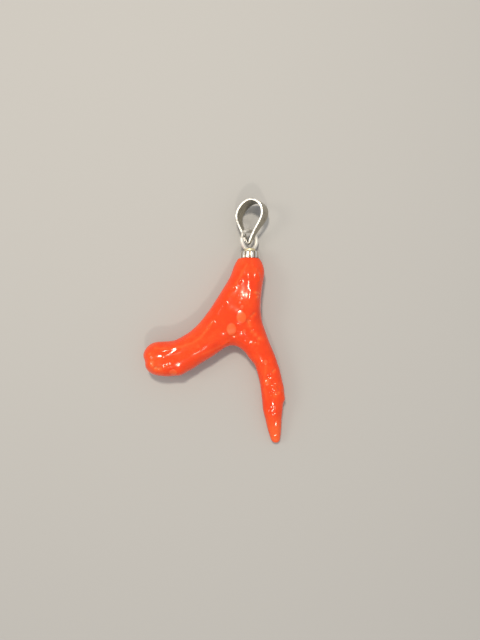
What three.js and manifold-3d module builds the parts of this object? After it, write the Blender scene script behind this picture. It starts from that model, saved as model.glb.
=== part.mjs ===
// Red coral branch pendant: a forked, polished coral branch with a fluted silver cap, an eye ring and a bail.
// Millimetres, +Z up. It lies on its back with +Y towards the bail, and its lowest points touch Z = 0.
import * as THREE from "three";
import { mergeVertices } from "three/addons/utils/BufferGeometryUtils.js";
import Module from "manifold-3d";

const wasm = await Module();
wasm.setup();

// Coral: centre line and half width of the stem, from the cap through the fork to the broad branch's tip
const STEM = [
  { x: 1.9, y: 13.4, z: 2.5, radius: 1.28 },
  { x: 1.83, y: 12.2, z: 2.5, radius: 1.86 },
  { x: 1.78, y: 11.0, z: 2.58, radius: 2.46 },
  { x: 1.66, y: 9.6, z: 2.74, radius: 3.08 },
  { x: 1.17, y: 7.6, z: 2.92, radius: 3.32 },
  { x: -0.1, y: 5.2, z: 3.05, radius: 3.3 },
  { x: -1.7, y: 2.6, z: 3.15, radius: 3.3 },
  { x: -3.8, y: -0.4, z: 3.15, radius: 3.3 },
  { x: -6.3, y: -3.6, z: 3.1, radius: 3.4 },
  { x: -9.4, y: -5.8, z: 3.0, radius: 3.25 },
  { x: -12.4, y: -7.4, z: 2.92, radius: 3.42 },
  { x: -16.0, y: -7.7, z: 2.88, radius: 3.38 },
];
// The same for the side limb, from inside the stem to the slender branch's tip
const SIDE = [
  { x: 1.2, y: 1.6, z: 3.15, radius: 2.0 },
  { x: 1.55, y: -0.2, z: 3.15, radius: 2.35 },
  { x: 2.3, y: -2.8, z: 3.05, radius: 2.75 },
  { x: 3.7, y: -5.8, z: 2.85, radius: 2.55 },
  { x: 5.1, y: -8.3, z: 2.6, radius: 2.25 },
  { x: 6.05, y: -11.6, z: 2.4, radius: 2.25 },
  { x: 6.55, y: -14.6, z: 2.2, radius: 2.3 },
  { x: 6.6, y: -17.4, z: 1.85, radius: 2.05 },
  { x: 6.75, y: -19.6, z: 1.45, radius: 1.72 },
  { x: 7.0, y: -22.0, z: 1.08, radius: 1.4 },
  { x: 7.25, y: -24.1, z: 0.87, radius: 1.0 },
];
const FLATTEN = 0.86; // thickness over width
const FORK_FILLET = 5.6; // how far the two limbs reach for each other where they meet
const BALLS_PER_LIMB = 90;
// Each limb's own centre line: the stations it takes, and the faces around it, along it and over its tip
const LOWER_TRUNK = { x: -0.9, y: 2.4, z: 3.1 };
const TRUNK_STATIONS = STEM.slice(0, 6);
const BROAD_STATIONS = STEM.slice(8);
const SLENDER_STATIONS = SIDE.slice(3);
const TRUNK_FACES = { around: 34, along: 27, tip: 5 };
const BROAD_FACES = { around: 32, along: 33, tip: 6 };
const SLENDER_FACES = { around: 26, along: 42, tip: 5 };

// Coral relief: ridges and pads on the upper side; swellings, pits, wrinkles and a notch anywhere
const RIDGES = [
  {
    height: 0.28,
    width: 0.6,
    line: [[1.2, 11.2], [-0.1, 7.9], [-1.6, 6.2], [-3.2, 3.4], [-5.8, -0.5], [-7.6, -2.6], [-15, -6]],
  },
  { height: 0.2, width: 0.45, line: [[1.9, 10.8], [1.8, 7.6], [2.0, 5.6], [1.5, 3.2]] },
  { height: 0.2, width: 0.45, line: [[3.1, 10.6], [3.1, 7.8], [2.9, 5.6], [2.3, 3.6]] },
];
const RIDGE_DOTS = 8; // per station of a ridge's line
const PADS = [
  { x: 0.2, y: 0.5, radius: 1.05, height: 0.2 },
  { x: -1.66, y: -1.9, radius: 1.1, height: 0.2 },
];
const SWELLINGS = [
  { x: 8.8, y: -14.9, z: 2.3, radius: 1.3, height: 0.22 },
  { x: 4.8, y: 10.2, z: 2.8, radius: 1.6, height: 0.2 },
  { x: -17.0, y: -6.2, z: 3.2, radius: 2.2, height: 0.12 },
  { x: -19.4, y: -8.4, z: 2.9, radius: 1.0, height: -0.5 },
  { x: 2.1, y: -0.4, z: 6.0, radius: 0.7, height: -0.22 },
  { x: 2.7, y: -2.6, z: 5.7, radius: 0.7, height: -0.22 },
  { x: 4.0, y: -5.0, z: 5.2, radius: 0.7, height: -0.2 },
  { x: 5.2, y: -11.3, z: 4.4, radius: 0.7, height: 0.16 },
  { x: 6.4, y: -13.0, z: 4.3, radius: 0.7, height: 0.16 },
  { x: 7.6, y: -14.6, z: 4.0, radius: 0.7, height: 0.16 },
  { x: -15.0, y: -9.8, z: 5.0, radius: 1.3, height: 0.15 },
  { x: -17.3, y: -8.0, z: 6.4, radius: 2.1, height: 0.42 },
  { x: 2.4, y: 2.8, z: 5.9, radius: 1.5, height: 0.18 },
];
const PAD_EDGE = 0.5;
const UPPER_SIDE = { from: 2.8, to: 4.2 };
const LUMP = { height: 0.07, acrossX: 1.5, alongY: 1.2, upZ: 1.4 };

// Coral split at its fork: slices between cuts towards the outer left, the crotch and the outer right
const FORK = { x: -0.8, y: -1.4, z: 3.15 };
const CUT_LEFT = THREE.MathUtils.degToRad(165);
const CUT_CROTCH = THREE.MathUtils.degToRad(261);
const CUT_RIGHT = THREE.MathUtils.degToRad(11);
const TRUNK_SLICE = { from: CUT_RIGHT, to: CUT_LEFT };
const BROAD_SLICE = { from: CUT_LEFT, to: CUT_CROTCH };
const SLENDER_SLICE = { from: CUT_CROTCH, to: CUT_RIGHT + 2 * Math.PI };
const CUT_REACH = 60;
const CUT_GAP = 0.03;
const SLICE_OVERLAP = 1.0;
const RAY_STEP = 0.3;
const RAY_HALVINGS = 16;

// Silver cap and its collar, on the coral's turned-down end
const CAP = { x: 1.95, z: 2.5, rimY: 12.3, shoulderY: 13.45, topY: 13.75, rimRadius: 1.95, topRadius: 1.6 };
const CUP = { radius: 1.5, deep: 0.8 };
const CAP_BAND = 0.5; // straight part of the cap's wall above its rim
const CAP_DRAFT = 0.05; // how much the wall narrows from there to its shoulder
const COLLAR = { radius: 1.08, topY: 14.3, chamfer: 0.15 };
const FLUTES = 12;
const FACES_PER_FLUTE = 4;
const FLUTE_DEPTH = 0.13;
const PEG_FACES = 28;
const END_GAP = 0.04;

// Eye ring soldered to the collar, turned about the pendant's long axis so that its left side stands up
const EYE = { x: 1.83, y: 15.97, radius: 1.95, wire: 0.4, turn: THREE.MathUtils.degToRad(40) };
const EYE_FACES = { round: 10, along: 32 };

// Bail: a closed teardrop of strip in its own plane, its line given from the eye ring's far side
const BAIL_LEAN = THREE.MathUtils.degToRad(24);
const BAIL_SHEET = 0.45;
const BAIL_WIDTH = { top: 3.6, tip: 0.9 };
const BAIL_TAPER = 1.5; // above 1, the strip stays narrow for longer near its tip
const BAIL_LINE = [
  [-0.2, -2.65],
  [0.15, -2.25],
  [0.65, -1.35],
  [1.25, -0.35],
  [1.95, 0.65],
  [2.75, 1.75],
  [3.3, 2.95],
  [3.2, 4.2],
  [2.5, 5.25],
  [1.4, 5.8],
  [0.3, 5.75],
  [-0.8, 5.15],
  [-1.7, 4.2],
  [-2.2, 3.05],
  [-2.1, 1.85],
  [-1.7, 0.65],
  [-1.2, -0.55],
  [-0.8, -1.55],
  [-0.55, -2.25],
];
const BAIL_STEPS = 64;
const BAIL_SECTION = 8;

const CORAL_LOOK = { color: 0xf4552a, roughness: 0.3, metalness: 0.0 };
const SILVER_LOOK = { color: 0xd8d4ca, roughness: 0.25, metalness: 1.0 };

function limbCurve(stations) {
  return new THREE.CatmullRomCurve3(stations.map((s) => new THREE.Vector3(s.x, s.y, s.z)));
}

function limbBalls(stations) {
  const line = limbCurve(stations);
  const sizes = new THREE.CatmullRomCurve3(stations.map((s, i) => new THREE.Vector3(i, s.radius, 0)));
  const balls = [];
  for (let i = 0; i <= BALLS_PER_LIMB; i += 1) {
    const t = i / BALLS_PER_LIMB;
    balls.push({ centre: line.getPoint(t), radius: sizes.getPoint(t).y });
  }
  return balls;
}

const stemBalls = limbBalls(STEM);
const sideBalls = limbBalls(SIDE);
const ridgeDots = RIDGES.map((ridge) => {
  const line = new THREE.CatmullRomCurve3(ridge.line.map(([x, y]) => new THREE.Vector3(x, y, 0)));
  return line.getSpacedPoints(ridge.line.length * RIDGE_DOTS);
});

// Distance from a point to a limb's skin, below zero inside it
function limbDistance(balls, p) {
  let nearest = Infinity;
  for (const { centre, radius } of balls) {
    const distance = Math.hypot(p.x - centre.x, p.y - centre.y, (p.z - centre.z) / FLATTEN) - radius;
    nearest = Math.min(nearest, distance);
  }
  return nearest;
}

function relief(p) {
  const upper = THREE.MathUtils.smoothstep(p.z, UPPER_SIDE.from, UPPER_SIDE.to);
  const lump = Math.sin(p.x * LUMP.acrossX) * Math.cos(p.y * LUMP.alongY) * Math.cos(p.z * LUMP.upZ);
  let height = LUMP.height * lump;
  for (const s of SWELLINGS) {
    const away = Math.hypot(p.x - s.x, p.y - s.y, p.z - s.z) / s.radius;
    height += s.height * Math.exp(-away * away);
  }
  for (const pad of PADS) {
    const away = Math.hypot(p.x - pad.x, p.y - pad.y);
    height += upper * pad.height * (1 - THREE.MathUtils.smoothstep(away, pad.radius, pad.radius + PAD_EDGE));
  }
  RIDGES.forEach((ridge, i) => {
    const away = Math.min(...ridgeDots[i].map((dot) => Math.hypot(p.x - dot.x, p.y - dot.y))) / ridge.width;
    height += upper * ridge.height * Math.exp(-away * away);
  });
  return height;
}

function coralDistance(p) {
  const stem = limbDistance(stemBalls, p);
  const side = limbDistance(sideBalls, p);
  const near = Math.max(FORK_FILLET - Math.abs(stem - side), 0) / FORK_FILLET;
  return Math.min(stem, side) - (near * near * FORK_FILLET) / 4 - relief(p);
}

// How far a point lies outside a slice of the fork, below zero inside it
function outsideSlice(p, slice) {
  const x = p.x - FORK.x;
  const y = p.y - FORK.y;
  const beforeFirst = x * Math.sin(slice.from) - y * Math.cos(slice.from);
  const pastLast = y * Math.cos(slice.to) - x * Math.sin(slice.to);
  return Math.max(beforeFirst, pastLast);
}

// First point of a limb's skin along a ray that starts inside it; the limb ends a little past its slice
function skinPoint(start, direction, slice) {
  const at = (distance) => start.clone().addScaledVector(direction, distance);
  const isInside = (p) => Math.max(coralDistance(p), outsideSlice(p, slice) - SLICE_OVERLAP) < 0;
  let outside = RAY_STEP;
  while (outside < CUT_REACH && isInside(at(outside))) {
    outside += RAY_STEP;
  }
  let inside = outside - RAY_STEP;
  for (let i = 0; i < RAY_HALVINGS; i += 1) {
    const middle = (inside + outside) / 2;
    if (isInside(at(middle))) {
      inside = middle;
    } else {
      outside = middle;
    }
  }
  return at(inside);
}

// A ball stretched along a centre line, with every vertex set out on the coral's skin
function sweptLimb(line, slice, { around: sides, along: bodyRings, tip: tipRings }) {
  const ball = new THREE.SphereGeometry(1, sides, bodyRings + 2 * tipRings);
  const position = ball.attributes.position;
  const up = new THREE.Vector3(0, 0, 1);
  for (let i = 0; i < position.count; i += 1) {
    const row = Math.floor(i / (sides + 1));
    const around = ((i % (sides + 1)) / sides) * 2 * Math.PI;
    const beyondTip = Math.max(tipRings - row, 0) / tipRings;
    const beyondRoot = Math.max(row - tipRings - bodyRings, 0) / tipRings;
    const t = 1 - THREE.MathUtils.clamp((row - tipRings) / bodyRings, 0, 1);
    const nod = ((beyondTip - beyondRoot) * Math.PI) / 2;
    const forward = line.getTangentAt(t);
    const across = forward.clone().cross(up).normalize();
    const over = across.clone().cross(forward);
    const direction = forward.clone().multiplyScalar(Math.sin(nod));
    direction.addScaledVector(across, -Math.cos(around) * Math.cos(nod));
    direction.addScaledVector(over, Math.sin(around) * Math.cos(nod));
    const skin = skinPoint(line.getPointAt(t), direction.normalize(), slice);
    position.setXYZ(i, skin.x, skin.y, skin.z);
  }
  return ball;
}

const SAME_PLACE = 1e-4;

function bare(geometry) {
  const copy = geometry.clone();
  copy.deleteAttribute("normal");
  copy.deleteAttribute("uv");
  return mergeVertices(copy, SAME_PLACE);
}

function solidOf(geometry) {
  const shell = bare(geometry);
  const vertProperties = Float32Array.from(shell.attributes.position.array);
  const triVerts = Uint32Array.from(shell.index.array);
  return new wasm.Manifold(new wasm.Mesh({ numProp: 3, vertProperties, triVerts }));
}

function geometryOf(solid) {
  const mesh = solid.getMesh();
  const geometry = new THREE.BufferGeometry();
  geometry.setAttribute("position", new THREE.BufferAttribute(Float32Array.from(mesh.vertProperties), 3));
  geometry.setIndex(Array.from(mesh.triVerts));
  return geometry;
}

function named(name, geometry, look) {
  const mesh = new THREE.Mesh(geometry, new THREE.MeshStandardMaterial(look));
  mesh.name = name;
  return mesh;
}

// Pie slice around the fork that holds one limb, moved out by the gap between the pieces
function forkSlice({ from, to }) {
  const pie = new THREE.Shape();
  pie.absarc(0, 0, CUT_REACH, from, to, false);
  pie.lineTo(0, 0);
  const prism = new THREE.ExtrudeGeometry(pie, { depth: CUT_REACH, bevelEnabled: false });
  const middle = (from + to) / 2;
  prism.translate(FORK.x + CUT_GAP * Math.cos(middle), FORK.y + CUT_GAP * Math.sin(middle), 0);
  return solidOf(prism);
}

// Coral limbs: each swept from the fork along its centre line, then cut to its slice, above the floor
function limb(stations, slice, faces) {
  const line = limbCurve([FORK, ...stations]);
  return solidOf(sweptLimb(line, slice, faces)).intersect(forkSlice(slice));
}

const pegRadius = CUP.radius - END_GAP;
const peg = new THREE.CylinderGeometry(pegRadius, pegRadius, 2 * CUP.deep, PEG_FACES);
peg.translate(CAP.x, CAP.rimY - END_GAP, CAP.z);
const aboveRim = new THREE.BoxGeometry(CUT_REACH, CUT_REACH, CUT_REACH);
aboveRim.translate(CAP.x, CAP.rimY - END_GAP + CUT_REACH / 2, CAP.z);
const upTheTrunk = [LOWER_TRUNK, ...TRUNK_STATIONS.toReversed()];
const grownTrunk = limb(upTheTrunk, TRUNK_SLICE, TRUNK_FACES);
const trunk = grownTrunk.subtract(solidOf(aboveRim)).add(solidOf(peg));
const broadBranch = limb(BROAD_STATIONS, BROAD_SLICE, BROAD_FACES);
const slenderBranch = limb(SLENDER_STATIONS, SLENDER_SLICE, SLENDER_FACES);

// Cap: a lathe profile from the cup's floor round to the collar's top, its outer wall drawn in to flutes
function fluted(geometry) {
  const betweenWalls = (CUP.radius + CAP.topRadius) / 2;
  const betweenEdges = (CAP.shoulderY + CAP.topY) / 2;
  const position = geometry.attributes.position;
  for (let i = 0; i < position.count; i += 1) {
    const x = position.getX(i);
    const y = position.getY(i);
    const z = position.getZ(i);
    const out = Math.hypot(x, z);
    if (out > betweenWalls && y < betweenEdges) {
      const bulge = Math.abs(Math.sin((Math.atan2(z, x) * FLUTES) / 2));
      const scale = (out - FLUTE_DEPTH * (1 - bulge)) / out;
      position.setXYZ(i, x * scale, y, z * scale);
    }
  }
  return geometry;
}

const capProfile = [
  [0, CAP.rimY + CUP.deep],
  [CUP.radius, CAP.rimY + CUP.deep],
  [CUP.radius, CAP.rimY],
  [CAP.rimRadius, CAP.rimY],
  [CAP.rimRadius, CAP.rimY + CAP_BAND],
  [CAP.rimRadius - CAP_DRAFT, CAP.shoulderY],
  [CAP.topRadius, CAP.topY],
  [COLLAR.radius, CAP.topY],
  [COLLAR.radius, COLLAR.topY - COLLAR.chamfer],
  [COLLAR.radius - COLLAR.chamfer, COLLAR.topY],
  [0, COLLAR.topY],
].map(([radius, y]) => new THREE.Vector2(radius, y));
const capShell = fluted(new THREE.LatheGeometry(capProfile, FLUTES * FACES_PER_FLUTE));
capShell.translate(CAP.x, 0, CAP.z);

function ring(wire) {
  const torus = new THREE.TorusGeometry(EYE.radius, wire, EYE_FACES.round, EYE_FACES.along);
  torus.rotateY(EYE.turn);
  torus.translate(EYE.x, EYE.y, CAP.z);
  return torus;
}

const endCap = solidOf(capShell).subtract(solidOf(ring(EYE.wire + END_GAP)));

// Bail: a ring with a flat section, bent along the teardrop
function bentStrip() {
  const line = new THREE.CatmullRomCurve3(BAIL_LINE.map(([u, v]) => new THREE.Vector3(u, v, 0)), true);
  const strip = new THREE.TorusGeometry(1, BAIL_SHEET, BAIL_SECTION, BAIL_STEPS);
  const position = strip.attributes.position;
  for (let i = 0; i < position.count; i += 1) {
    const t = ((i % (BAIL_STEPS + 1)) / BAIL_STEPS) % 1;
    const around = (Math.floor(i / (BAIL_STEPS + 1)) / BAIL_SECTION) * 2 * Math.PI;
    const out = THREE.MathUtils.clamp(Math.SQRT2 * Math.cos(around), -1, 1) * (BAIL_SHEET / 2);
    const wide = THREE.MathUtils.clamp(Math.SQRT2 * Math.sin(around), -1, 1) / 2;
    const width = THREE.MathUtils.lerp(BAIL_WIDTH.tip, BAIL_WIDTH.top, Math.sin(Math.PI * t) ** BAIL_TAPER);
    const centre = line.getPointAt(t);
    const along = line.getTangentAt(t);
    position.setXYZ(i, centre.x + along.y * out, centre.y - along.x * out, wide * width);
  }
  strip.rotateY(-BAIL_LEAN);
  strip.translate(EYE.x, EYE.y + EYE.radius, CAP.z);
  return strip;
}

const part = new THREE.Group();
part.name = "red_coral_branch_pendant";
part.add(named("trunk", geometryOf(trunk), CORAL_LOOK));
part.add(named("broad_branch", geometryOf(broadBranch), CORAL_LOOK));
part.add(named("slender_branch", geometryOf(slenderBranch), CORAL_LOOK));
part.add(named("end_cap", geometryOf(endCap), SILVER_LOOK));
part.add(named("eye_ring", bare(ring(EYE.wire)), SILVER_LOOK));
part.add(named("bail", bare(bentStrip()), SILVER_LOOK));

// Origin at the middle of the pendant's outline, on the surface it lies on
const bounds = new THREE.Box3().setFromObject(part);
const middle = bounds.getCenter(new THREE.Vector3());
part.position.set(-middle.x, -middle.y, 0);
part.updateMatrixWorld(true);

export default part;
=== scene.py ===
"""Red coral branch pendant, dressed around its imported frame.

One continuous skin of polished coral, and a silver cap, eye ring and bail.
"""

import math
from types import SimpleNamespace

import bmesh
import bpy
import numpy as np
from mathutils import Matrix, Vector


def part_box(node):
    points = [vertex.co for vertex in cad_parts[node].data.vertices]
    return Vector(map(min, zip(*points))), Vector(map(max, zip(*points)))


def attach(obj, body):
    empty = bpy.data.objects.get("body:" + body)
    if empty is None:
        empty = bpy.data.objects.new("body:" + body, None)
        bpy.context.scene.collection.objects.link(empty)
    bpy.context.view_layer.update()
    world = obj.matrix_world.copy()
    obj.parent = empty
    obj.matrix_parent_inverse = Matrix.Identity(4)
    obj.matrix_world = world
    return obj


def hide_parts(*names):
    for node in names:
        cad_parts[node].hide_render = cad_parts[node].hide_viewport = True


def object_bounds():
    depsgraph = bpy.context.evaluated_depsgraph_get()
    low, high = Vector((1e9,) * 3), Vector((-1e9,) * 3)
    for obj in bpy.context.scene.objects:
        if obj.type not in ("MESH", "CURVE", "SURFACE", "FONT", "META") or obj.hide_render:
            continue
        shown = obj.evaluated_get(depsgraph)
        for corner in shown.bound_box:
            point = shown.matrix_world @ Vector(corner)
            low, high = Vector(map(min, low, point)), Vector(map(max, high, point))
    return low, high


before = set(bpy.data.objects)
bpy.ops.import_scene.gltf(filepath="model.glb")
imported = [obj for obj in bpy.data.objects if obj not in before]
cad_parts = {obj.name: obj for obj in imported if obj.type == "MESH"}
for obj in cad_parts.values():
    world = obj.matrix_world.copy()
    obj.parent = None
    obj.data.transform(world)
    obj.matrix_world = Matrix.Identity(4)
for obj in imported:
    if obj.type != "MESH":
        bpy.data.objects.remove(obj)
cad_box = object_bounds()

MM = 0.001

# Camera straight above the pendant, as in the photograph (480 x 640 pixels)
PHOTO_WIDTH = 480
PHOTO_HEIGHT = 640
FOCAL_PIXELS = 485.0
SENSOR_MM = 36.0
CAMERA_HEIGHT = 99.6  # mm above the surface
PHOTO_MIDDLE = (5.137, 0.548)  # mm in the frame, below the camera
CLIP_START = 0.001  # m

# Pale floor and soft studio light, in metres and watts
FLOOR_HALF = 0.6
FLOOR_COLOUR = (0.46, 0.46, 0.46)
FLOOR_ROUGHNESS = 0.8
LAMP_COLOUR = (1.0, 0.90, 0.74)
LAMP_AIM = (0.0, 0.0, 0.003)
# Lamps: (name, place, width, depth, power)
LAMPS = [
    ("key_light", (-0.02, 0.126, 0.272), 0.042, 0.036, 0.54),
    ("front_light", (0.0165, -0.184, 0.236), 0.026, 0.022, 0.14),
    ("left_light", (-0.24, 0.03, 0.22), 0.12, 0.12, 0.15),
]
SKY_COLOUR = (1.0, 1.0, 1.0)
SKY_STRENGTH = 0.5

# Coral skin
CORAL_NODES = ["trunk", "broad_branch", "slender_branch"]
VOXEL = 0.124  # mm
INFLATE = 0.08  # mm, closes the split at the fork before the remesh
SMOOTH_ROUNDS = 46
SMOOTH_STRENGTH = 0.5
REGAIN = 0.035  # mm, what smoothing takes off the branches
RIM_REACH = (1.3, 0.3)  # mm below the cap, where smoothing fades so that the coral keeps its rim
RIM_HOLD = 0.86
WELD = 1e-7  # m, vertices of a solid that are nearer than this are one

# How far a place faces up, as its normal's Z: where relief begins, and where it is whole
UPPER_FACING = (-0.05, 0.3)
TOP_FACING = (0.2, 0.8)

# Centre lines of the two limbs in the frame, mm, for the fine grooves that run along them
STEM = [
    (7.0, 12.8, 2.5),
    (6.7, 10.1, 2.8),
    (5.0, 5.7, 3.0),
    (1.3, 0.1, 3.1),
    (-4.3, -5.3, 3.0),
    (-10.9, -7.2, 2.9),
]
SIDE = [
    (6.4, 2.1, 3.1),
    (7.4, -2.3, 3.0),
    (10.2, -7.8, 2.6),
    (11.7, -14.1, 2.2),
    (11.9, -19.1, 1.4),
    (12.4, -23.6, 0.9),
]
GROOVES = 17
GROOVE_DEPTH = 0.004  # mm, times a share that varies from place to place
GROOVE_SHARE = 0.6  # its mean
GROOVE_SWAY = 0.5  # radians to either side, along the limb
GROOVE_SWAY_RATE = 0.55  # radians a mm

# Soft waves over the whole skin: (size, length mm, seed)
GROOVE_WANDER = (0.8, 6.0, 4)  # radians
GROOVE_PATCHES = (0.4, 4.0, 6)  # share of the depth
LUMPS = (0.012, 2.2, 3)  # mm
FINE_LUMPS = (0.002, 0.9, 5)  # mm
CLOUDS = (0.05, 5.0, 8)  # tone
SMALL_CLOUDS = (0.03, 1.6, 9)  # tone
WAVE_COUNT = 6
WAVE_SPREAD = (0.7, 1.4)  # of the length, from wave to wave
WAVE_GAIN = 1.6

# Relief on the upper side, by photograph pixel: ridges, or grooves, as (height mm, half width px, line)
RIDGES = [
    # flutes below the cap
    (0.05, 1.9, [(248.6, 266), (248.2, 274), (247.6, 280)]),
    (0.13, 1.4, [(256.0, 267), (255.8, 274), (255.2, 280)]),
    (0.16, 1.2, [(257.8, 272), (258.5, 277), (259.4, 282)]),
    # streak halfway down the trunk
    (0.06, 1.5, [(250.9, 288), (250.0, 296), (248.4, 304)]),
    # shallow valley along the left shoulder, and the dashes on it
    (-0.17, 7.5, [(244, 272), (238, 285), (231, 297), (220, 309), (208, 325)]),
    (0.12, 2.0, [(240.9, 279.0), (238.0, 283.3)]),
    (0.15, 2.0, [(234.2, 285.9), (231.5, 289.6)]),
    (0.15, 2.0, [(226.2, 301.1), (222.0, 305.2)]),
    (0.19, 2.1, [(213.0, 320.4), (207.8, 328.0)]),
    (0.05, 1.8, [(205, 332), (196, 338), (184, 343), (172, 346.5)]),
    # seam that the pits on the right shoulder follow
    (-0.02, 1.5, [(248.7, 319), (249.6, 325), (251.8, 331.5), (255.8, 335), (259.6, 338.6)]),
    # edge of the crotch
    (0.10, 1.5, [(221.6, 345.8), (225.0, 343.6), (228.4, 341.2)]),
    (0.05, 1.3, [(236, 339.8), (242, 342.6), (248, 345.8)]),
    # right branch
    (0.05, 1.4, [(270.1, 360.5), (273.6, 366.9)]),
    (-0.19, 2.0, [(267.4, 378.1), (272.0, 375.9)]),
    (-0.21, 2.2, [(272.1, 380.4), (274.2, 384.9)]),
    (-0.18, 1.4, [(276.7, 385.9), (278.8, 387.7), (280.3, 390.6)]),
    (-0.13, 2.0, [(270.6, 390.9), (274.2, 394.5)]),
    (-0.04, 1.4, [(270.7, 395.5), (270.4, 401.5)]),
    (-0.08, 1.5, [(273.0, 405.0), (273.5, 409), (273.9, 415)]),
    (-0.14, 1.5, [(269.9, 408.5), (269.5, 415.5)]),
    (-0.07, 1.2, [(276.1, 419.5), (274.5, 426.5), (275.4, 436.5)]),
    # left tip
    (
        -0.09,
        2.2,
        [(152, 352), (156, 353.6), (160.4, 354.6), (165, 354.4), (170, 352.8), (175, 350.6), (182, 347)],
    ),
]
RIDGE_FADE = 0.12  # share of its line over which a ridge rises, and falls again

# Broad swellings and dents: (x, y, half width, half height, height mm)
SWELLINGS = [
    (248.0, 262.0, 10.0, 10.0, -0.14),
    (256.0, 275.0, 8.0, 9.0, 0.12),
    (257.5, 299.0, 13.0, 16.0, 0.42),
    (248.0, 304.0, 9.0, 10.0, -0.05),
    (239.0, 305.0, 8.0, 9.0, -0.14),
    (272.0, 386.0, 7.0, 8.0, 0.06),
    (163.0, 352.0, 14.0, 9.0, 0.16),
    (172.0, 344.5, 12.0, 5.0, -0.10),
]

# Pads where side twigs were ground off, small pale spots, and a pale patch of painted highlight on the
# left tip's lower edge, by photograph pixel:
# (x, y, half width, half height, height mm, tone)
PADS = [
    (241.3, 317.6, 5.3, 6.4, 0.03, 0.27),
    (231.5, 329.3, 5.3, 6.6, 0.03, 0.27),
    (244.2, 331.4, 2.2, 2.6, 0.03, 0.14),
    (265.6, 362.1, 2.4, 2.8, 0.04, 0.16),
    (241.3, 295.2, 1.8, 2.2, 0.02, 0.14),
    (240.8, 299.2, 1.5, 1.8, 0.02, 0.14),
    (239.6, 303.0, 1.3, 1.5, 0.02, 0.12),
    (242.0, 307.0, 1.8, 2.2, 0.02, 0.12),
    # painted highlight on the left tip's lower edge
    (173.0, 371.8, 4.4, 2.4, 0.04, 0.22),
]
PAD_EDGE = (0.66, 1.12)  # of its half size, over which a pad ends
PAD_GROOVE = 0.012  # mm, the line round each pad
PAD_GROOVE_WIDTH = 0.12  # of the pad's half size
PAD_GROOVE_PAINTED_SHADE = 0.03  # painted shade: how much redder the line round each pad is

# Lumps and notches of the outline: (x, y, radius px, height mm)
OUTLINE_LUMPS = [
    (144.2, 361.8, 4.0, -0.24),
    (180.0, 372.6, 5.0, 0.27),
    (168.0, 376.0, 8.0, 0.18),
    (284.4, 399.0, 2.4, 0.18),
    (284.0, 391.0, 3.0, -0.10),
]

# Grains, or pits: (x, y, radius px, height mm)
GRAINS = [
    (253.2, 264.9, 1.2, 0.06),
    (254.5, 292.8, 1.5, 0.24),
    (255.9, 297.2, 1.4, 0.22),
    (257.4, 293.4, 1.2, 0.16),
    (254.1, 313.8, 1.7, -0.22),
    (251.6, 316.5, 1.6, -0.19),
    (248.3, 320.7, 1.8, -0.18),
    (249.0, 322.8, 1.6, -0.14),
    (249.8, 326.1, 1.9, -0.16),
    (251.9, 331.3, 2.0, -0.20),
    (255.4, 334.4, 2.0, -0.18),
    (259.0, 338.4, 1.9, -0.22),
    (232.9, 336.1, 1.5, -0.12),
    (235.4, 336.1, 1.5, -0.09),
    (246.7, 340.6, 1.8, -0.08),
    (251.4, 343.2, 1.6, -0.06),
    (254.5, 343.2, 1.6, -0.11),
    (258.0, 343.2, 1.5, -0.11),
    (274.6, 370.1, 1.3, -0.20),
    (273.3, 372.0, 1.4, -0.20),
    (267.1, 380.2, 1.8, -0.17),
    (266.8, 382.9, 1.7, -0.19),
    (275.1, 395.1, 2.1, -0.13),
    (278.5, 392.8, 1.4, -0.20),
    (273.2, 438.2, 1.2, -0.05),
    (276.0, 439.4, 1.2, -0.05),
    (149.2, 353.7, 1.0, -0.12),
    (151.6, 362.4, 1.7, -0.22),
    (151.7, 365.0, 1.7, -0.22),
    (155.4, 368.4, 1.7, -0.24),
    (159.0, 368.9, 1.7, -0.18),
    (161.4, 368.2, 1.2, -0.08),
    (165.0, 366.4, 1.4, -0.06),
    (168.1, 365.0, 1.4, -0.06),
    (171.0, 364.2, 1.4, -0.06),
    (172.8, 361.2, 1.2, -0.06),
    (163.5, 356.0, 1.0, -0.06),
    (198.0, 346.0, 1.4, -0.08),
]

# Where the coral is deeper red or paler: painted shade on the trunk's right flank and by the crotch, its
# own tone elsewhere: (x, y, half width, half height, tone)
TONES_AND_PAINTED_SHADE = [
    (249.0, 284.0, 7.0, 5.0, -0.10),
    (257.0, 318.0, 6.0, 22.0, -0.12),
    (265.0, 353.0, 5.0, 9.0, -0.14),
    (276.0, 362.0, 4.0, 12.0, -0.08),
    (222.0, 346.0, 20.0, 6.0, -0.08),
    (275.5, 436.0, 9.0, 16.0, 0.24),
    (152.0, 362.0, 12.0, 18.0, 0.10),
    (247.0, 262.0, 14.0, 8.0, 0.10),
    (205.0, 336.0, 22.0, 12.0, 0.06),
]

# Painted highlight: paler lines along the creases of the branches: (tone, half width px, line)
PAINTED_HIGHLIGHT_STREAKS = [
    (0.16, 1.3, [(213, 321), (206, 331), (200, 338), (192, 343), (182, 346.6), (167, 349), (155, 348)]),
    (0.14, 1.2, [(247, 264), (243, 270), (239, 278), (233, 287)]),
    (0.12, 1.3, [(229, 341), (222, 345.4), (212, 350), (203, 354)]),
    (0.10, 1.2, [(266, 366), (264.5, 378), (265, 392), (268, 402)]),
]

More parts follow.
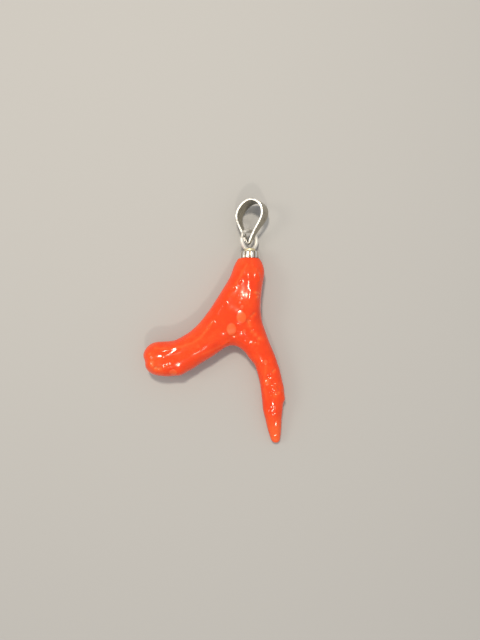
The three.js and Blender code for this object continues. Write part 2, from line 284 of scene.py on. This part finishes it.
# Coral material. Tone 0 is deep red, TONE_BASE the body colour, 1 pale orange
TONE_BASE = 0.42
RELIEF_PAINTED_LIGHT = 0.12  # per mm: painted highlight on ridges, which are paler, and painted shade in grooves, which are redder
GRAIN_PAINTED_HIGHLIGHT = 1.6  # per mm: painted highlight, grains and pits are paler where their walls should glint
CORAL_TONES = [
    (0.0, (0.62, 0.016, 0.001)),
    (TONE_BASE, (0.90, 0.059, 0.003)),
    (0.7, (0.93, 0.13, 0.022)),
    (1.0, (0.94, 0.25, 0.08)),
]
MOTTLE = {"Scale": 700.0, "Detail": 4.0}  # scale per metre, as in all textures
MOTTLE_TONE = 0.22
SPECKS = {"Scale": 4200.0, "Detail": 2.0}
SPECK_TONE = 0.12
CORAL_ROUGHNESS = 0.10
MOTTLE_ROUGHNESS = 0.10
PAD_ROUGHNESS = 0.25
CORAL_BUMP = {"Strength": 0.06, "Distance": 0.00003}
CORAL_IOR = 1.5
GLOW_WEIGHT = 0.12  # light that scatters below the polish
GLOW_RADIUS = (1.0, 0.3, 0.12)
GLOW_SCALE = 0.0006  # m

# Silver material
SILVER = (0.90, 0.88, 0.84)
SILVER_WARM = (0.86, 0.77, 0.52)
SILVER_DARK = (0.30, 0.28, 0.25)
SILVER_SHADE_AND_TARNISH = (0.42, 0.40, 0.34)  # painted shade on the eye ring's flanks, and tarnish with painted shade and dark reflection on the bail's inner and outer faces
SILVER_GROOVE = (0.42, 0.31, 0.20)  # between the cap's flutes
PATCHES = {"Scale": 900.0, "Detail": 5.0}
PATCH_EDGE = (0.25, 0.42)  # noise values between which dark patches end
SCRATCHES = {"Scale": 6000.0, "Detail": 3.0}
SCRATCH_STRETCH = (1.0, 0.15, 1.0)
SCRATCH_ROUGHNESS = 0.16
SILVER_BUMP = {"Strength": 0.15, "Distance": 0.00002}
WARM_ROUGHNESS = 0.25  # how much rougher the warm silver is

# A colour mix node's sockets
MIX_SHARE = 0
MIX_FIRST = 6
MIX_SECOND = 7
MIX_RESULT = 2

# Cap
CAP_VOXEL = 0.05  # mm
CAP_SMOOTH_ROUNDS = 6
CAP_ROUGHNESS = 0.27
FLUTES = 12
FLUTES_END = 14.1  # mm along Y in the frame, where the cap's shoulder starts
SHOULDER_BLEND = 0.15  # mm
CREST = (0.2, 0.75)  # from 0 in a groove to 1 on a flute, where the silver turns bright
WARM_FROM = 0.66  # of the cap's length, where the silver begins to turn warm
WARM_TO = 0.74  # and where it is wholly warm

# Eye ring and bail
ROUND_LEVELS = 2  # of subdivision
JOIN_FACE_LIMIT = 0.6  # radians, for two triangles that make a quad
JOIN_SHAPE_LIMIT = 1.2  # radians, how skewed that quad may be
EYE_REGAIN = 0.024  # mm, what rounding takes off the wire
EYE_ROUGHNESS = 0.66
EYE_FACING = (-0.15, 0.3)  # normal's Z, from the painted shade on the flanks to the painted highlight on top
BAIL_CREASE = 50.0  # degrees
EDGE_BEVEL = 0.07  # mm
EDGE_BEVEL_STEPS = 2
EDGE_PROFILE = 0.5  # round
BAIL_ROUGHNESS = 0.28
BAIL_LEAN = math.radians(24)
BAIL_EDGE = (0.25, 0.6)  # how far a place faces along the strip's width, from its walls, darkened by tarnish and painted shade, to its bright edges


# Mesh tools
def millimetres(obj):
    """Vertex places of a mesh object, in mm."""
    places = np.empty(len(obj.data.vertices) * 3)
    obj.data.vertices.foreach_get("co", places)
    return places.reshape(-1, 3) / MM


def set_millimetres(obj, places):
    obj.data.vertices.foreach_set("co", (places * MM).ravel())
    obj.data.update()


def normals_of(obj):
    found = np.empty(len(obj.data.vertices) * 3)
    obj.data.vertices.foreach_get("normal", found)
    return found.reshape(-1, 3)


def linked(name, data):
    """A new object in the scene."""
    obj = bpy.data.objects.new(name, data)
    bpy.context.scene.collection.objects.link(obj)
    return obj


def evaluated(obj, name):
    """The object with its modifiers applied, as a new object; the old one goes."""
    graph = bpy.context.evaluated_depsgraph_get()
    mesh = bpy.data.meshes.new_from_object(obj.evaluated_get(graph))
    mesh.name = name
    bpy.data.objects.remove(obj)
    return linked(name, mesh)


def node_shell(names, grow=0.0, scale=1.0):
    """The solids of some nodes in one bmesh, welded, each grown outwards by grow mm, times scale."""
    whole = bmesh.new()
    for name in names:
        part = bmesh.new()
        part.from_mesh(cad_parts[name].data)
        bmesh.ops.remove_doubles(part, verts=part.verts, dist=WELD)
        bmesh.ops.recalc_face_normals(part, faces=part.faces)
        part.normal_update()
        moved = [vert.co + vert.normal * grow * MM for vert in part.verts]
        for vert, place in zip(part.verts, moved):
            vert.co = place * scale
        mesh = bpy.data.meshes.new("shell")
        part.to_mesh(mesh)
        whole.from_mesh(mesh)
        bpy.data.meshes.remove(mesh)
        part.free()
    return whole


def raw_object(name, shell):
    """A bmesh as an object for modifiers; the bmesh goes."""
    mesh = bpy.data.meshes.new(name)
    shell.to_mesh(mesh)
    shell.free()
    return linked(name + "_raw", mesh)


def remeshed(name, shell, voxel):
    """A voxel skin round a shell given in mm, back in metres."""
    obj = raw_object(name, shell)
    modifier = obj.modifiers.new("skin", "REMESH")
    modifier.mode = "VOXEL"
    modifier.voxel_size = voxel
    obj = evaluated(obj, name)
    set_millimetres(obj, millimetres(obj) * MM)
    return obj


def rounded_copy(name, source, regain, crease_degrees=None):
    """A node's solid as quads, subdivided and grown back by regain mm.

    Edges sharper than the crease angle, where one is given, are bevelled first.
    """
    shell = node_shell([source])
    bmesh.ops.join_triangles(
        shell,
        faces=shell.faces,
        angle_face_threshold=JOIN_FACE_LIMIT,
        angle_shape_threshold=JOIN_SHAPE_LIMIT,
    )
    if crease_degrees is not None:
        limit = math.radians(crease_degrees)
        sharp = [e for e in shell.edges if e.is_manifold and e.calc_face_angle() > limit]
        bmesh.ops.bevel(
            shell,
            geom=sharp,
            offset=EDGE_BEVEL * MM,
            segments=EDGE_BEVEL_STEPS,
            profile=EDGE_PROFILE,
            affect="EDGES",
        )
    obj = raw_object(name, shell)
    modifier = obj.modifiers.new("round", "SUBSURF")
    modifier.levels = ROUND_LEVELS
    modifier.render_levels = ROUND_LEVELS
    obj = evaluated(obj, name)
    set_millimetres(obj, millimetres(obj) + normals_of(obj) * regain)
    return obj


def smoothed(obj, rounds, strength):
    """Moves each vertex towards the mean of its neighbours, some rounds over.

    The strength is one number, or one for each vertex.
    """
    places = millimetres(obj)
    edges = np.empty(len(obj.data.edges) * 2, dtype=np.int64)
    obj.data.edges.foreach_get("vertices", edges)
    first, second = edges[0::2], edges[1::2]
    count = np.bincount(edges, minlength=len(places)).astype(float)[:, None]
    for _ in range(rounds):
        total = np.empty_like(places)
        for axis in range(3):
            total[:, axis] = np.bincount(first, places[second, axis], len(places))
            total[:, axis] += np.bincount(second, places[first, axis], len(places))
        places += strength * (total / count - places)
    set_millimetres(obj, places)


# Fields over a set of places
def smooth_step(value, low, high):
    """From 0 at low to 1 at high, with soft ends."""
    t = np.clip((value - low) / (high - low), 0.0, 1.0)
    return t * t * (3.0 - 2.0 * t)


def bell(away):
    """1 in the middle, fading out past a distance of 1."""
    return np.exp(-away * away)


def photo_pixels(places):
    """Where the camera sees each place, in photograph pixels."""
    grow = FOCAL_PIXELS / (CAMERA_HEIGHT - places[:, 2])
    x = PHOTO_WIDTH / 2 + (places[:, 0] - PHOTO_MIDDLE[0]) * grow
    y = PHOTO_HEIGHT / 2 - (places[:, 1] - PHOTO_MIDDLE[1]) * grow
    return np.stack([x, y], axis=1)


def from_spot(pixels, x, y, radius):
    """Distance from a round spot's middle, in its radius."""
    return np.hypot(pixels[:, 0] - x, pixels[:, 1] - y) / radius


def from_oval(pixels, x, y, half_width, half_height):
    """Distance from an oval's middle, in its half sizes."""
    return np.hypot((pixels[:, 0] - x) / half_width, (pixels[:, 1] - y) / half_height)


def distance_to_line(pixels, line):
    """Distance in pixels to a polyline, and how far along it, from 0 to 1."""
    best = np.full(len(pixels), np.inf)
    along = np.zeros(len(pixels))
    steps = len(line) - 1
    for i in range(steps):
        a, b = np.array(line[i]), np.array(line[i + 1])
        t = np.clip(((pixels - a) @ (b - a)) / ((b - a) @ (b - a)), 0.0, 1.0)
        gap = np.linalg.norm(pixels - (a + t[:, None] * (b - a)), axis=1)
        nearer = gap < best
        best[nearer] = gap[nearer]
        along[nearer] = (i + t[nearer]) / steps
    return best, along


def along_limbs(places):
    """How far each place is along the nearer limb, in mm, and its turn around it."""
    nearest = np.full(len(places), np.inf)
    length = np.zeros(len(places))
    turn = np.zeros(len(places))
    for limb in (STEM, SIDE):
        passed = 0.0
        for start, end in zip(limb[:-1], limb[1:]):
            start, way = np.array(start), np.array(end) - np.array(start)
            step = np.linalg.norm(way)
            t = np.clip(((places - start) @ way) / step**2, 0.0, 1.0)
            off = places - (start + t[:, None] * way)
            across = np.array([way[1], -way[0], 0.0]) / math.hypot(way[0], way[1])
            gap = np.linalg.norm(off, axis=1)
            near = gap < nearest
            nearest[near] = gap[near]
            length[near] = passed + t[near] * step
            turn[near] = np.arctan2(off[near, 2], off[near] @ across)
            passed += step
    return length, turn


def waves(places, size, length, seed):
    """Soft lumps of about that length in mm, from about -size to size."""
    draw = np.random.default_rng(seed)
    total = np.zeros(len(places))
    for _ in range(WAVE_COUNT):
        way = draw.normal(size=3)
        way *= 2 * math.pi / (length * np.linalg.norm(way) * draw.uniform(*WAVE_SPREAD))
        total += np.sin(places @ way + draw.uniform(0, 2 * math.pi))
    return size * (total / WAVE_COUNT * WAVE_GAIN)


def mark(obj, name, values):
    """A number from 0 to 1 on every vertex, for the material to read."""
    layer = obj.data.attributes.new(name, "FLOAT", "POINT")
    layer.data.foreach_set("value", np.clip(values, 0.0, 1.0).astype(np.float32))


# Relief and tone of the coral, with painted highlight and shade in the tone
def add_ridges(skin):
    for rise, half_width, line in RIDGES:
        gap, along = distance_to_line(skin.pixels, line)
        ends = smooth_step(along, 0.0, RIDGE_FADE) * (1 - smooth_step(along, 1.0 - RIDGE_FADE, 1.0))
        ridge = bell(gap / half_width) * ends * skin.upper
        skin.height += rise * ridge
        # painted highlight on the ridges, painted shade in the grooves
        skin.tone += RELIEF_PAINTED_LIGHT * rise * ridge


def add_swellings(skin):
    for *oval, rise in SWELLINGS:
        skin.height += rise * bell(from_oval(skin.pixels, *oval)) * skin.top


def add_pads(skin):
    for *oval, rise, paler in PADS:
        away = from_oval(skin.pixels, *oval)
        pad = (1 - smooth_step(away, *PAD_EDGE)) * skin.upper
        rim = bell((away - PAD_EDGE[1]) / PAD_GROOVE_WIDTH) * skin.upper
        skin.height += rise * pad - PAD_GROOVE * rim
        # the pads are paler in their own tone; the line round each is painted shade
        skin.tone += paler * pad - PAD_GROOVE_PAINTED_SHADE * rim
        skin.dull = np.maximum(skin.dull, pad)


def add_lumps_and_grains(skin):
    for *spot, rise in OUTLINE_LUMPS:
        skin.height += rise * bell(from_spot(skin.pixels, *spot))
    for *spot, rise in GRAINS:
        grain = bell(from_spot(skin.pixels, *spot)) * skin.upper
        skin.height += rise * grain
        # painted highlight: grains and pits are paler, standing for the glints on their walls
        skin.tone += GRAIN_PAINTED_HIGHLIGHT * abs(rise) * grain


def add_tones_and_painted_light(skin):
    for *oval, paler in TONES_AND_PAINTED_SHADE:
        # painted shade on the trunk's right flank and by the crotch, the coral's own tone in the other
        # patches
        skin.tone += paler * bell(from_oval(skin.pixels, *oval))
    for paler, half_width, line in PAINTED_HIGHLIGHT_STREAKS:
        gap = distance_to_line(skin.pixels, line)[0]
        # painted highlight along the creases
        skin.tone += paler * bell(gap / half_width) * skin.upper


def add_grooves(skin):
    """Fine grooves along the limbs, and soft lumps all over."""
    length, turn = along_limbs(skin.places)
    sway = GROOVE_SWAY * np.sin(GROOVE_SWAY_RATE * length) + waves(skin.places, *GROOVE_WANDER)
    share = GROOVE_SHARE + waves(skin.places, *GROOVE_PATCHES)
    skin.height += GROOVE_DEPTH * np.sin(GROOVES * turn + sway) * share
    skin.height += waves(skin.places, *LUMPS) + waves(skin.places, *FINE_LUMPS)


def add_relief(obj):
    """Ridges, pads, pits and lumps on the coral, and the tone and dullness that go with them; the tone
    holds painted highlight and painted shade too.
    """
    places = millimetres(obj)
    normals = normals_of(obj)
    skin = SimpleNamespace(
        places=places,
        pixels=photo_pixels(places),
        upper=smooth_step(normals[:, 2], *UPPER_FACING),
        top=smooth_step(normals[:, 2], *TOP_FACING),
        height=np.zeros(len(places)),
        tone=np.full(len(places), TONE_BASE),
        dull=np.zeros(len(places)),
    )
    add_ridges(skin)
    add_swellings(skin)
    add_pads(skin)
    add_lumps_and_grains(skin)
    add_tones_and_painted_light(skin)
    add_grooves(skin)
    raised = places + normals * (skin.height + REGAIN - INFLATE)[:, None]
    low, high = (np.array(corner) / MM for corner in cad_box)
    set_millimetres(obj, np.clip(raised, low, high))
    skin.tone += waves(raised, *CLOUDS) + waves(raised, *SMALL_CLOUDS)
    mark(obj, "tone", skin.tone)
    mark(obj, "dull", skin.dull)


# Materials
def new_material(name):
    material = bpy.data.materials.new(name)
    material.use_nodes = True
    tree = material.node_tree
    return material, tree, tree.nodes["Principled BSDF"]


def node(tree, kind, **settings):
    """A new shader node; each setting is one of its inputs, or else a property."""
    made = tree.nodes.new(kind)
    for key, value in settings.items():
        if key in made.inputs:
            made.inputs[key].default_value = value
        else:
            setattr(made, key, value)
    return made


def marked(tree, name):
    """The number that a mesh has under that name."""
    return node(tree, "ShaderNodeAttribute", attribute_name=name).outputs["Fac"]


def colour_ramp(tree, stops):
    ramp = tree.nodes.new("ShaderNodeValToRGB")
    elements = ramp.color_ramp.elements
    while len(elements) < len(stops):
        elements.new(0.5)
    for element, (place, colour) in zip(elements, stops):
        element.position = place
        element.color = (*colour, 1.0)
    return ramp


def math_node(tree, operation, *values):
    """One operation on sockets and plain numbers, as an output socket."""
    made = node(tree, "ShaderNodeMath", operation=operation)
    for socket, value in zip(made.inputs, values):
        if isinstance(value, (int, float)):
            socket.default_value = value
        else:
            tree.links.new(value, socket)
    return made.outputs[0]


def mixed(tree, share, first, second, blend="MIX"):
    """A colour socket blended with a second, plain colour by a share from 0 to 1."""
    mix = node(tree, "ShaderNodeMix", data_type="RGBA", blend_type=blend)
    tree.links.new(share, mix.inputs[MIX_SHARE])
    tree.links.new(first, mix.inputs[MIX_FIRST])
    mix.inputs[MIX_SECOND].default_value = (*second, 1.0)
    return mix.outputs[MIX_RESULT]


def bumped(tree, shader, height, settings):
    bump = node(tree, "ShaderNodeBump", **settings)
    tree.links.new(height, bump.inputs["Height"])
    tree.links.new(bump.outputs["Normal"], shader.inputs["Normal"])


def coral_material():
    """Polished coral: the mesh's tone, painted highlight and shade included, with fine mottling, duller
    on the pads.
    """
    material, tree, shader = new_material("polished_coral")
    link = tree.links.new
    place = node(tree, "ShaderNodeTexCoord").outputs["Object"]
    mottle = node(tree, "ShaderNodeTexNoise", **MOTTLE)
    specks = node(tree, "ShaderNodeTexNoise", **SPECKS)
    link(place, mottle.inputs["Vector"])
    link(place, specks.inputs["Vector"])
    spread = math_node(tree, "MULTIPLY_ADD", mottle.outputs["Fac"], MOTTLE_TONE, -MOTTLE_TONE / 2)
    dots = math_node(tree, "MULTIPLY_ADD", specks.outputs["Fac"], SPECK_TONE, -SPECK_TONE / 2)
    tone = math_node(tree, "ADD", math_node(tree, "ADD", marked(tree, "tone"), spread), dots)
    ramp = colour_ramp(tree, CORAL_TONES)
    link(tone, ramp.inputs["Fac"])
    link(ramp.outputs["Color"], shader.inputs["Base Color"])
    polish = math_node(tree, "MULTIPLY_ADD", mottle.outputs["Fac"], MOTTLE_ROUGHNESS, CORAL_ROUGHNESS)
    rough = math_node(tree, "MULTIPLY_ADD", marked(tree, "dull"), PAD_ROUGHNESS, polish)
    link(rough, shader.inputs["Roughness"])
    bumped(tree, shader, specks.outputs["Fac"], CORAL_BUMP)
    shader.inputs["IOR"].default_value = CORAL_IOR
    shader.inputs["Subsurface Weight"].default_value = GLOW_WEIGHT
    shader.inputs["Subsurface Radius"].default_value = GLOW_RADIUS
    shader.inputs["Subsurface Scale"].default_value = GLOW_SCALE
    return material


def silver_material(name, roughness, shade_and_tarnish, warm_span=None):
    """Silver with fine scratches and dark patches.

    The shade and tarnish colour tints it, except on the bright parts that the mesh marks: painted shade
    on the eye ring's flanks, tarnish with painted shade on the bail's walls, and a darker colour between
    the cap's flutes. Where a span of Y places is given, it turns warmer and rougher over that span.
    """
    material, tree, shader = new_material(name)
    link = tree.links.new
    place = node(tree, "ShaderNodeTexCoord").outputs["Object"]
    patches = node(tree, "ShaderNodeTexNoise", **PATCHES)
    scratches = node(tree, "ShaderNodeTexNoise", **SCRATCHES)
    stretch = node(tree, "ShaderNodeMapping")
    stretch.inputs["Scale"].default_value = SCRATCH_STRETCH
    link(place, patches.inputs["Vector"])
    link(place, stretch.inputs["Vector"])
    link(stretch.outputs["Vector"], scratches.inputs["Vector"])
    tarnish = colour_ramp(tree, [(PATCH_EDGE[0], SILVER_DARK), (PATCH_EDGE[1], SILVER), (1.0, SILVER)])
    link(patches.outputs["Fac"], tarnish.inputs["Fac"])
    colour = tarnish.outputs["Color"]
    smoothest = roughness - SCRATCH_ROUGHNESS / 2
    rough = math_node(tree, "MULTIPLY_ADD", scratches.outputs["Fac"], SCRATCH_ROUGHNESS, smoothest)
    if warm_span is not None:
        split = node(tree, "ShaderNodeSeparateXYZ")
        link(place, split.inputs[0])
        span = node(tree, "ShaderNodeMapRange", interpolation_type="SMOOTHSTEP")
        link(split.outputs["Y"], span.inputs["Value"])
        span.inputs["From Min"].default_value = warm_span[0]
        span.inputs["From Max"].default_value = warm_span[1]
        colour = mixed(tree, span.outputs["Result"], colour, SILVER_WARM)
        rough = math_node(tree, "MULTIPLY_ADD", span.outputs["Result"], WARM_ROUGHNESS, rough)
    # painted shade and tarnish tint the silver away from its marked bright parts
    shade_and_tarnish_share = math_node(tree, "SUBTRACT", 1.0, marked(tree, "lit_and_worn"))
    colour = mixed(tree, shade_and_tarnish_share, colour, shade_and_tarnish, "MULTIPLY")
    link(colour, shader.inputs["Base Color"])
    link(rough, shader.inputs["Roughness"])
    bumped(tree, shader, scratches.outputs["Fac"], SILVER_BUMP)
    shader.inputs["Metallic"].default_value = 1.0
    return material


# Pieces
def dress(obj, material, body, slot, *nodes):
    """Gives a piece its material, says which body it rides on, and hides the nodes that it stands for.
    """
    obj.data.materials.clear()
    obj.data.materials.append(material)
    obj.data.polygons.foreach_set("use_smooth", np.ones(len(obj.data.polygons), dtype=bool))
    obj.data.update()
    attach(obj, body)
    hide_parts(*nodes)


def make_coral():
    """One continuous skin over the three limbs."""
    coral = remeshed("coral", node_shell(CORAL_NODES, INFLATE, 1 / MM), VOXEL)
    cap_low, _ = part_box("end_cap")
    below_cap = cap_low[1] / MM - millimetres(coral)[:, 1:2]
    hold = RIM_HOLD * (1 - smooth_step(below_cap, RIM_REACH[1], RIM_REACH[0]))
    smoothed(coral, SMOOTH_ROUNDS, SMOOTH_STRENGTH * (1 - hold))
    add_relief(coral)
    dress(coral, coral_material(), "pendant", "coral", *CORAL_NODES)


def make_cap():
    """The cap rounded as cast silver, dark between its flutes and warm at its collar."""
    cap = remeshed("cap", node_shell(["end_cap"], 0.0, 1 / MM), CAP_VOXEL)
    smoothed(cap, CAP_SMOOTH_ROUNDS, SMOOTH_STRENGTH)
    low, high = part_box("end_cap")
    warm_span = [low[1] + share * (high[1] - low[1]) for share in (WARM_FROM, WARM_TO)]
    places = millimetres(cap)
    middle = [(low[axis] + high[axis]) / 2 / MM for axis in range(3)]
    turn = np.arctan2(places[:, 2] - middle[2], places[:, 0] - middle[0])
    crest = smooth_step(np.abs(np.sin(turn * FLUTES / 2)), *CREST)
    on_collar = smooth_step(places[:, 1], FLUTES_END, FLUTES_END + SHOULDER_BLEND)
    mark(cap, "lit_and_worn", np.maximum(crest, on_collar))
    silver = silver_material("cap_silver", CAP_ROUGHNESS, SILVER_GROOVE, warm_span)
    dress(cap, silver, "pendant", "silver", "end_cap")


def make_eye():
    """The wire ring, with painted highlight on top and painted shade on its flanks."""
    eye = rounded_copy("eye", "eye_ring", EYE_REGAIN)
    # painted highlight on the wire's top, painted shade on its flanks
    mark(eye, "lit_and_worn", smooth_step(normals_of(eye)[:, 2], *EYE_FACING))
    silver = silver_material("eye_silver", EYE_ROUGHNESS, SILVER_SHADE_AND_TARNISH)
    dress(eye, silver, "pendant", "silver", "eye_ring")


def make_bail():
    """The bent strip, bright on its edges and darker on its walls: partly tarnish, partly painted shade
    and dark reflection.
    """
    bail = rounded_copy("bail_strip", "bail", 0.0, BAIL_CREASE)
    across_strip = np.array([-math.sin(BAIL_LEAN), 0.0, math.cos(BAIL_LEAN)])
    facing = np.abs(normals_of(bail) @ across_strip)
    # bright edges; tarnish with painted shade and dark reflection on the walls
    mark(bail, "lit_and_worn", smooth_step(facing, *BAIL_EDGE))
    silver = silver_material("bail_silver", BAIL_ROUGHNESS, SILVER_SHADE_AND_TARNISH)
    dress(bail, silver, "bail", "silver", "bail")


# Stage
def make_floor():
    corners = [(-1, -1), (1, -1), (1, 1), (-1, 1)]
    mesh = bpy.data.meshes.new("floor")
    mesh.from_pydata([(x * FLOOR_HALF, y * FLOOR_HALF, 0) for x, y in corners], [], [(0, 1, 2, 3)])
    floor = linked("floor", mesh)
    material, _, shader = new_material("floor")
    shader.inputs["Base Color"].default_value = (*FLOOR_COLOUR, 1.0)
    shader.inputs["Roughness"].default_value = FLOOR_ROUGHNESS
    floor.data.materials.append(material)


def make_lamp(name, place, width, depth, power):
    lamp = bpy.data.lights.new(name, "AREA")
    lamp.shape = "ELLIPSE"
    lamp.size = width
    lamp.size_y = depth
    lamp.energy = power
    lamp.color = LAMP_COLOUR
    obj = linked(name, lamp)
    obj.location = place
    obj.rotation_euler = (Vector(LAMP_AIM) - Vector(place)).to_track_quat("-Z", "Y").to_euler()


def make_sky():
    world = bpy.data.worlds.new("studio")
    bpy.context.scene.world = world
    world.use_nodes = True
    background = world.node_tree.nodes["Background"]
    background.inputs["Color"].default_value = (*SKY_COLOUR, 1.0)
    background.inputs["Strength"].default_value = SKY_STRENGTH


def make_camera():
    """Looks straight down."""
    camera = linked("camera", bpy.data.cameras.new("camera"))
    camera.location = (PHOTO_MIDDLE[0] * MM, PHOTO_MIDDLE[1] * MM, CAMERA_HEIGHT * MM)
    camera.rotation_euler = (0.0, 0.0, 0.0)
    camera.data.sensor_width = SENSOR_MM
    camera.data.lens = FOCAL_PIXELS / PHOTO_HEIGHT * SENSOR_MM
    camera.data.clip_start = CLIP_START
    bpy.context.scene.camera = camera


make_coral()
make_cap()
make_eye()
make_bail()
make_floor()
for lamp in LAMPS:
    make_lamp(*lamp)
make_sky()
make_camera()
bpy.context.scene.view_settings.view_transform = "Standard"
